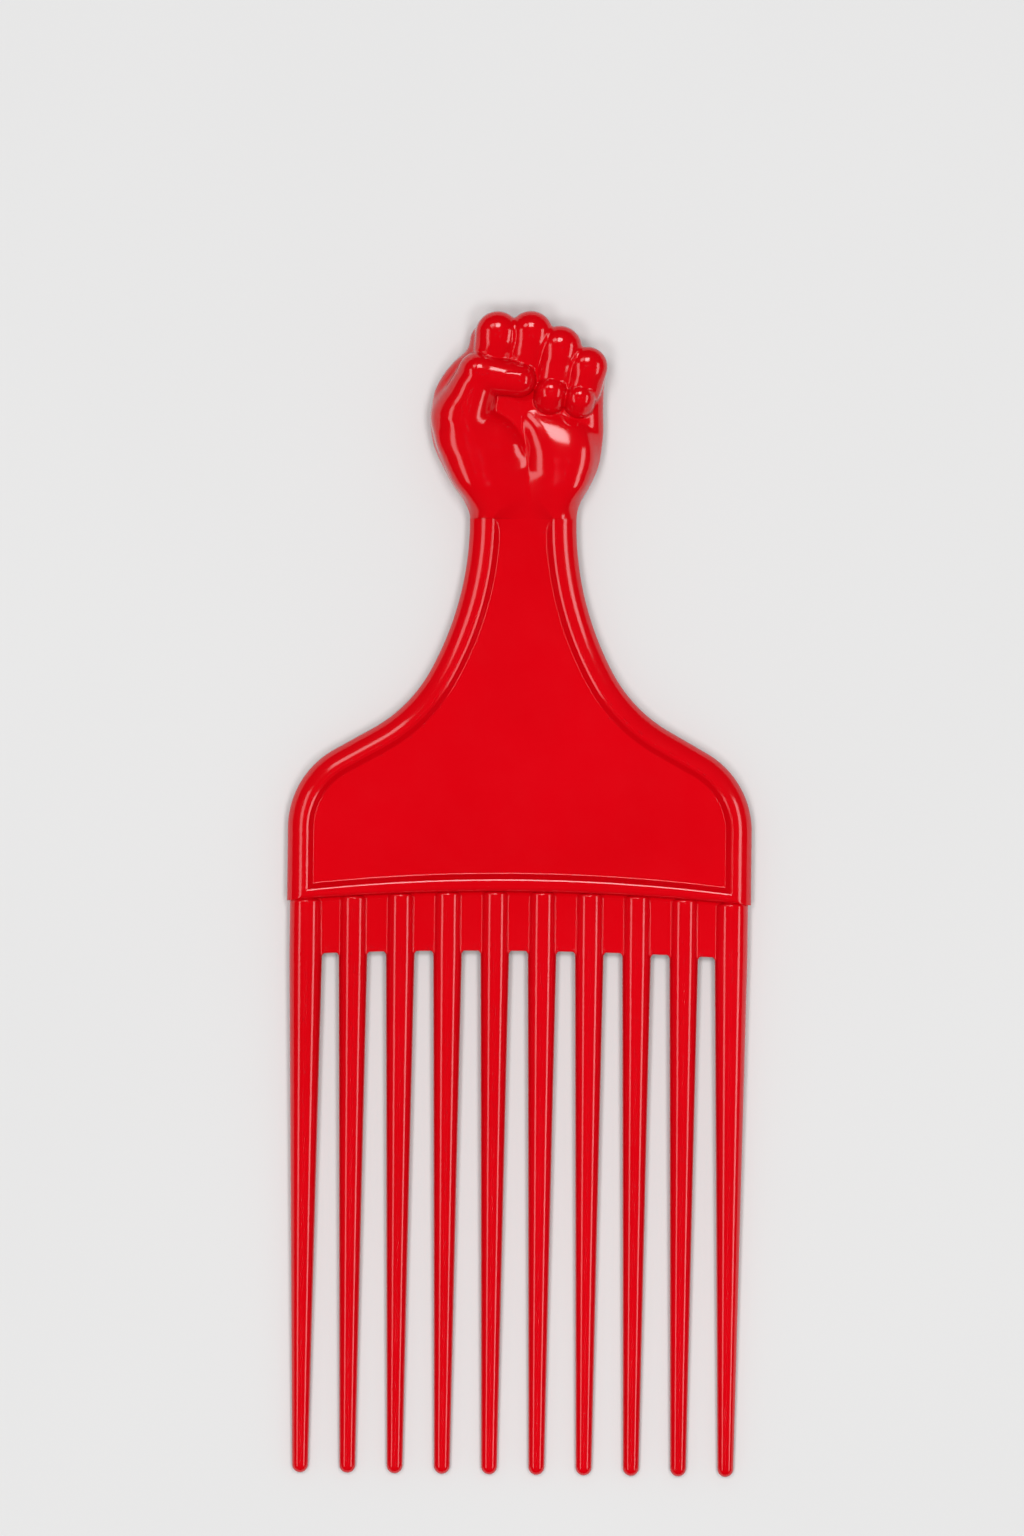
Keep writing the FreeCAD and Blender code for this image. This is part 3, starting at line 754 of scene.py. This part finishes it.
def moulding_material():
    """Glossy red plastic with a faint drift of tone, small changes of polish and a fine rippled skin."""
    material, nodes, links = node_tree("moulding")
    shader = nodes["Principled BSDF"]
    place = nodes.new("ShaderNodeTexCoord")
    drift = nodes.new("ShaderNodeTexNoise")
    drift.inputs["Scale"].default_value = 38.0
    drift.inputs["Detail"].default_value = 3.0
    tone = nodes.new("ShaderNodeValToRGB")
    tone.color_ramp.elements[0].position = 0.30
    tone.color_ramp.elements[0].color = (0.545, 0.0002, 0.0034, 1.0)
    tone.color_ramp.elements[1].position = 0.72
    tone.color_ramp.elements[1].color = (0.590, 0.0004, 0.0046, 1.0)
    polish = nodes.new("ShaderNodeTexNoise")
    polish.inputs["Scale"].default_value = 210.0
    polish.inputs["Detail"].default_value = 4.0
    sheen = nodes.new("ShaderNodeMapRange")
    sheen.inputs["From Min"].default_value = 0.25
    sheen.inputs["From Max"].default_value = 0.75
    sheen.inputs["To Min"].default_value = 0.09
    sheen.inputs["To Max"].default_value = 0.14
    ripple = nodes.new("ShaderNodeTexNoise")
    ripple.inputs["Scale"].default_value = 420.0
    ripple.inputs["Detail"].default_value = 2.0
    bump = nodes.new("ShaderNodeBump")
    bump.inputs["Strength"].default_value = 0.012
    bump.inputs["Distance"].default_value = 0.00015
    for texture in (drift, polish, ripple):
        links.new(place.outputs["Object"], texture.inputs["Vector"])
    links.new(drift.outputs["Fac"], tone.inputs["Fac"])
    links.new(tone.outputs["Color"], shader.inputs["Base Color"])
    links.new(polish.outputs["Fac"], sheen.inputs["Value"])
    links.new(sheen.outputs["Result"], shader.inputs["Roughness"])
    links.new(ripple.outputs["Fac"], bump.inputs["Height"])
    links.new(bump.outputs["Normal"], shader.inputs["Normal"])
    shader.inputs["IOR"].default_value = 1.49
    return material


def floor_material():
    """Plain pale paper with a faint unevenness."""
    material, nodes, links = node_tree("paper")
    shader = nodes["Principled BSDF"]
    place = nodes.new("ShaderNodeTexCoord")
    grain = nodes.new("ShaderNodeTexNoise")
    grain.inputs["Scale"].default_value = 9.0
    grain.inputs["Detail"].default_value = 2.0
    tone = nodes.new("ShaderNodeValToRGB")
    tone.color_ramp.elements[0].color = (0.600, 0.598, 0.597, 1.0)
    tone.color_ramp.elements[1].color = (0.625, 0.623, 0.622, 1.0)
    links.new(place.outputs["Object"], grain.inputs["Vector"])
    links.new(grain.outputs["Fac"], tone.inputs["Fac"])
    links.new(tone.outputs["Color"], shader.inputs["Base Color"])
    shader.inputs["Roughness"].default_value = 0.9
    shader.inputs["Specular IOR Level"].default_value = 0.1
    return material


body = body_skin()
web = web_skin()
teeth = [tooth_skin(node) for node in TEETH]
fist = fist_skin()
red = moulding_material()
for piece in [body, web, fist] + teeth:
    piece.data.materials.append(red)

# Floor: the pick rests on the back of the fist and on its tooth tips, so the floor slopes a little
# Lengths that are set from here on are in metres

FIST_REST_SHARE = 0.7
FIST_REST_Y = (WRIST_Y + FIST_REST_SHARE * (FIST_TOP_Y - WRIST_Y) + EDGE_Y) * MM
tip_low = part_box("tooth_05")[0]
tip_rest = Vector((0.0, tip_low.y + TOOTH_TIP_RADIUS * MM, (MID_Z - TOOTH_TIP_RADIUS) * MM))
lowest = min(v.co.z for v in fist.data.vertices)
floor_slope = (tip_rest.z - lowest) / (tip_rest.y - FIST_REST_Y)
FLOOR_REACH = 3.0
FLOOR_GAP = 0.0002
corners = []
for sign_x, sign_y in ((-1, -1), (1, -1), (1, 1), (-1, 1)):
    floor_y = sign_y * FLOOR_REACH
    floor_z = lowest + floor_slope * (floor_y - FIST_REST_Y) - FLOOR_GAP
    corners.append((sign_x * FLOOR_REACH, floor_y, floor_z))
floor_mesh = bpy.data.meshes.new("floor")
floor_mesh.from_pydata(corners, [], [(0, 1, 2, 3)])
floor = bpy.data.objects.new("floor", floor_mesh)
bpy.context.scene.collection.objects.link(floor)
floor_mesh.materials.append(floor_material())

# Lights: softboxes that only make highlights, a long one on each side, a small one beyond the fist and
# one at its left corner, then fills near straight up and an even world, both left out of reflections

FILL_COUNT = 4
FILL_BEARING = 45.0
FILL_TILT = 12.0
FILL_DISTANCE = 1.8
FILL_SIZE = 0.3
FILL_POWER = 7.9
WORLD_TONE = 0.37


def softbox(name, bearing, tilt, distance, width, length, power):
    """Area light at an angle from straight up, on a bearing in degrees from +X, its length level."""
    data = bpy.data.lights.new(name, "AREA")
    data.shape = "RECTANGLE"
    data.size = length
    data.size_y = width
    data.energy = power
    lamp = bpy.data.objects.new(name, data)
    bpy.context.scene.collection.objects.link(lamp)
    flat = math.sin(math.radians(tilt)) * distance
    away = Vector((
        flat * math.cos(math.radians(bearing)),
        flat * math.sin(math.radians(bearing)),
        math.cos(math.radians(tilt)) * distance))
    lamp.location = away
    lamp.rotation_euler = (-away).to_track_quat("-Z", "Y").to_euler()
    return lamp


# Each highlight: bearing and tilt in degrees, distance, width, length, and power in watts
highlights = (
    softbox("left_softbox", 183.0, 46.0, 1.0, 0.21, 0.85, 1.76),
    softbox("right_softbox", -3.0, 55.0, 1.0, 0.21, 0.85, 2.49),
    softbox("far_softbox", 90.0, 40.0, 1.0, 0.28, 0.32, 3.0),
    softbox("corner_softbox", 121.0, 46.0, 1.0, 0.22, 0.26, 0.75),
)
for lamp in highlights:
    lamp.visible_diffuse = False
for number in range(FILL_COUNT):
    bearing = FILL_BEARING + 360.0 / FILL_COUNT * number
    name = f"fill_{number + 1}"
    fill = softbox(name, bearing, FILL_TILT, FILL_DISTANCE, FILL_SIZE, FILL_SIZE, FILL_POWER)
    fill.visible_glossy = False

world = bpy.data.worlds.new("studio")
bpy.context.scene.world = world
world.use_nodes = True
background = world.node_tree.nodes["Background"]
background.inputs["Color"].default_value = (WORLD_TONE, WORLD_TONE, WORLD_TONE, 1.0)
background.inputs["Strength"].default_value = 1.0
world.cycles_visibility.glossy = False

# Camera: straight down, far off with a long lens, which takes in the shot height

SHOT_HEIGHT = 0.24576
SHOT_DISTANCE = 1.4
SHOT_SHIFT_X = -0.00136
SHOT_SHIFT_Y = 0.0200
SHOT_ROLL = 0.64
SHOT_FAR = 20.0
# In millimetres, as lenses are
SENSOR_WIDTH = 36.0
camera_data = bpy.data.cameras.new("camera")
camera_data.sensor_width = SENSOR_WIDTH
camera_data.lens = SENSOR_WIDTH * SHOT_DISTANCE / SHOT_HEIGHT
camera_data.clip_end = SHOT_FAR
camera = bpy.data.objects.new("camera", camera_data)
bpy.context.scene.collection.objects.link(camera)
camera.location = (SHOT_SHIFT_X, SHOT_SHIFT_Y, MID_Z * MM + SHOT_DISTANCE)
camera.rotation_euler = (0.0, 0.0, math.radians(SHOT_ROLL))
bpy.context.scene.camera = camera
bpy.context.scene.view_settings.view_transform = "Standard"
